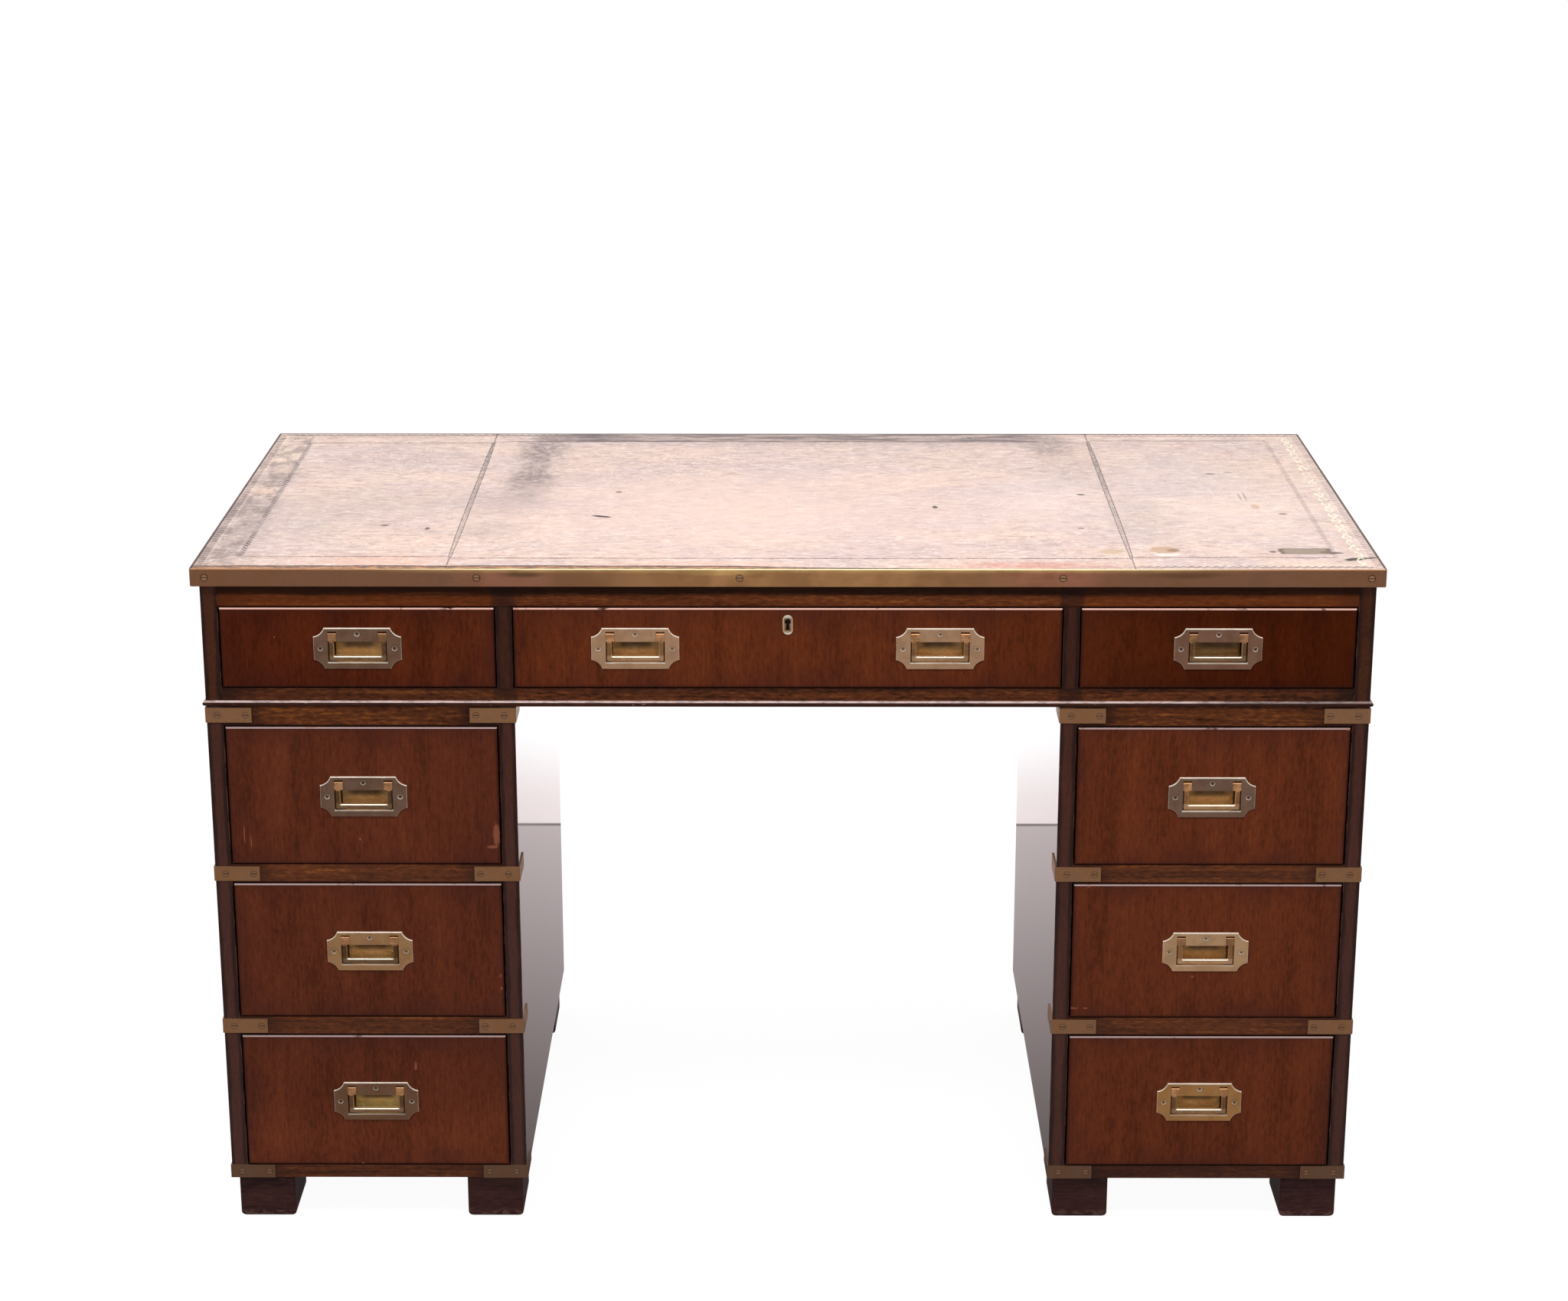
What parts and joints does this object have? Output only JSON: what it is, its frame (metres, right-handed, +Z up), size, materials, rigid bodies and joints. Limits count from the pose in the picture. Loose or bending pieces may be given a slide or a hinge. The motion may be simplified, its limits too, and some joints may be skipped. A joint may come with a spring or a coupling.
{
  "type": "campaign desk",
  "caption": "Campaign pedestal desk: leather top in a brass band, brass corner straps, recessed swing handles, drawers in two pedestals and in a top unit that lifts off.",
  "frame": {"origin": "on the floor, under the middle of the top", "axes": "+X to the right seen from the front, +Y towards the back, +Z up; the drawers open towards -Y"},
  "size_m": [1.27, 0.624, 0.7687],
  "materials": {
    "mahogany": "satin varnish",
    "dark_mahogany": "worn satin varnish",
    "lining_wood": "bare planed",
    "brass": "aged",
    "leather": "worn satin",
    "lock_steel": "dull"
  },
  "bodies": {
    "pedestals": {"pedestal_sides": "mahogany", "pedestal_backs": "lining_wood", "pedestal_tops": "lining_wood", "pedestal_bottoms": "lining_wood", "pedestal_rails": "mahogany", "drawer_runners": "lining_wood", "block_feet": "dark_mahogany", "corner_straps": "brass", "strap_screws": "brass", "locating_dowels": "lining_wood"},
    "top_unit": {"unit_sides": "mahogany", "unit_back": "lining_wood", "unit_rails": "mahogany", "unit_dividers": "mahogany", "base_board": "lining_wood", "bead_moulding": "mahogany", "top_board": "mahogany", "leather_panels": "leather", "edge_band": "brass", "band_screws": "brass"},
    "top_left_drawer": {"top_left_front": "mahogany", "top_left_box": "lining_wood", "top_left_handle": "brass"},
    "top_left_bail": {"top_left_bail": "brass"},
    "top_middle_drawer": {"top_middle_front": "mahogany", "top_middle_box": "lining_wood", "top_middle_handle": "brass", "escutcheon": "brass", "lock_case": "lock_steel"},
    "top_middle_bail_a": {"top_middle_bail_a": "brass"},
    "top_middle_bail_b": {"top_middle_bail_b": "brass"},
    "top_right_drawer": {"top_right_front": "mahogany", "top_right_box": "lining_wood", "top_right_handle": "brass"},
    "top_right_bail": {"top_right_bail": "brass"},
    "left_upper_drawer": {"left_upper_front": "mahogany", "left_upper_box": "lining_wood", "left_upper_handle": "brass"},
    "left_upper_bail": {"left_upper_bail": "brass"},
    "right_upper_drawer": {"right_upper_front": "mahogany", "right_upper_box": "lining_wood", "right_upper_handle": "brass"},
    "right_upper_bail": {"right_upper_bail": "brass"},
    "left_middle_drawer": {"left_middle_front": "mahogany", "left_middle_box": "lining_wood", "left_middle_handle": "brass"},
    "left_middle_bail": {"left_middle_bail": "brass"},
    "right_middle_drawer": {"right_middle_front": "mahogany", "right_middle_box": "lining_wood", "right_middle_handle": "brass"},
    "right_middle_bail": {"right_middle_bail": "brass"},
    "left_lower_drawer": {"left_lower_front": "mahogany", "left_lower_box": "lining_wood", "left_lower_handle": "brass"},
    "left_lower_bail": {"left_lower_bail": "brass"},
    "right_lower_drawer": {"right_lower_front": "mahogany", "right_lower_box": "lining_wood", "right_lower_handle": "brass"},
    "right_lower_bail": {"right_lower_bail": "brass"},
    "lock_bolt": {"lock_bolt": "lock_steel"}
  },
  "joints": [
    {"name": "top_unit_lift", "type": "slide", "parent": "pedestals", "child": "top_unit", "axis": [0, 0, 1], "range_m": [0, 0.15]},
    {"name": "top_left_slide", "type": "slide", "parent": "top_unit", "child": "top_left_drawer", "axis": [0, -1, 0], "range_m": [0, 0.4]},
    {"name": "top_left_bail_hinge", "type": "hinge", "parent": "top_left_drawer", "child": "top_left_bail", "pos_m": [-0.4601, -0.3023, 0.6911], "axis": [-1, 0, 0], "range_deg": [0, 90]},
    {"name": "top_middle_slide", "type": "slide", "parent": "top_unit", "child": "top_middle_drawer", "axis": [0, -1, 0], "range_m": [0, 0.4]},
    {"name": "top_middle_bail_a_hinge", "type": "hinge", "parent": "top_middle_drawer", "child": "top_middle_bail_a", "pos_m": [-0.163, -0.3023, 0.6911], "axis": [-1, 0, 0], "range_deg": [0, 90]},
    {"name": "top_middle_bail_b_hinge", "type": "hinge", "parent": "top_middle_drawer", "child": "top_middle_bail_b", "pos_m": [0.163, -0.3023, 0.6911], "axis": [-1, 0, 0], "range_deg": [0, 90]},
    {"name": "top_right_slide", "type": "slide", "parent": "top_unit", "child": "top_right_drawer", "axis": [0, -1, 0], "range_m": [0, 0.4]},
    {"name": "top_right_bail_hinge", "type": "hinge", "parent": "top_right_drawer", "child": "top_right_bail", "pos_m": [0.4601, -0.3023, 0.6911], "axis": [-1, 0, 0], "range_deg": [0, 90]},
    {"name": "left_upper_slide", "type": "slide", "parent": "pedestals", "child": "left_upper_drawer", "axis": [0, -1, 0], "range_m": [0, 0.4]},
    {"name": "left_upper_bail_hinge", "type": "hinge", "parent": "left_upper_drawer", "child": "left_upper_bail", "pos_m": [-0.4601, -0.3023, 0.52275], "axis": [-1, 0, 0], "range_deg": [0, 90]},
    {"name": "right_upper_slide", "type": "slide", "parent": "pedestals", "child": "right_upper_drawer", "axis": [0, -1, 0], "range_m": [0, 0.4]},
    {"name": "right_upper_bail_hinge", "type": "hinge", "parent": "right_upper_drawer", "child": "right_upper_bail", "pos_m": [0.4601, -0.3023, 0.52275], "axis": [-1, 0, 0], "range_deg": [0, 90]},
    {"name": "left_middle_slide", "type": "slide", "parent": "pedestals", "child": "left_middle_drawer", "axis": [0, -1, 0], "range_m": [0, 0.4]},
    {"name": "left_middle_bail_hinge", "type": "hinge", "parent": "left_middle_drawer", "child": "left_middle_bail", "pos_m": [-0.4601, -0.3023, 0.34185], "axis": [-1, 0, 0], "range_deg": [0, 90]},
    {"name": "right_middle_slide", "type": "slide", "parent": "pedestals", "child": "right_middle_drawer", "axis": [0, -1, 0], "range_m": [0, 0.4]},
    {"name": "right_middle_bail_hinge", "type": "hinge", "parent": "right_middle_drawer", "child": "right_middle_bail", "pos_m": [0.4601, -0.3023, 0.34185], "axis": [-1, 0, 0], "range_deg": [0, 90]},
    {"name": "left_lower_slide", "type": "slide", "parent": "pedestals", "child": "left_lower_drawer", "axis": [0, -1, 0], "range_m": [0, 0.4]},
    {"name": "left_lower_bail_hinge", "type": "hinge", "parent": "left_lower_drawer", "child": "left_lower_bail", "pos_m": [-0.4601, -0.3023, 0.16095], "axis": [-1, 0, 0], "range_deg": [0, 90]},
    {"name": "right_lower_slide", "type": "slide", "parent": "pedestals", "child": "right_lower_drawer", "axis": [0, -1, 0], "range_m": [0, 0.4]},
    {"name": "right_lower_bail_hinge", "type": "hinge", "parent": "right_lower_drawer", "child": "right_lower_bail", "pos_m": [0.4601, -0.3023, 0.16095], "axis": [-1, 0, 0], "range_deg": [0, 90]},
    {"name": "lock_bolt_slide", "type": "slide", "parent": "top_middle_drawer", "child": "lock_bolt", "axis": [0, 0, 1], "range_m": [0, 0.008]}
  ]
}
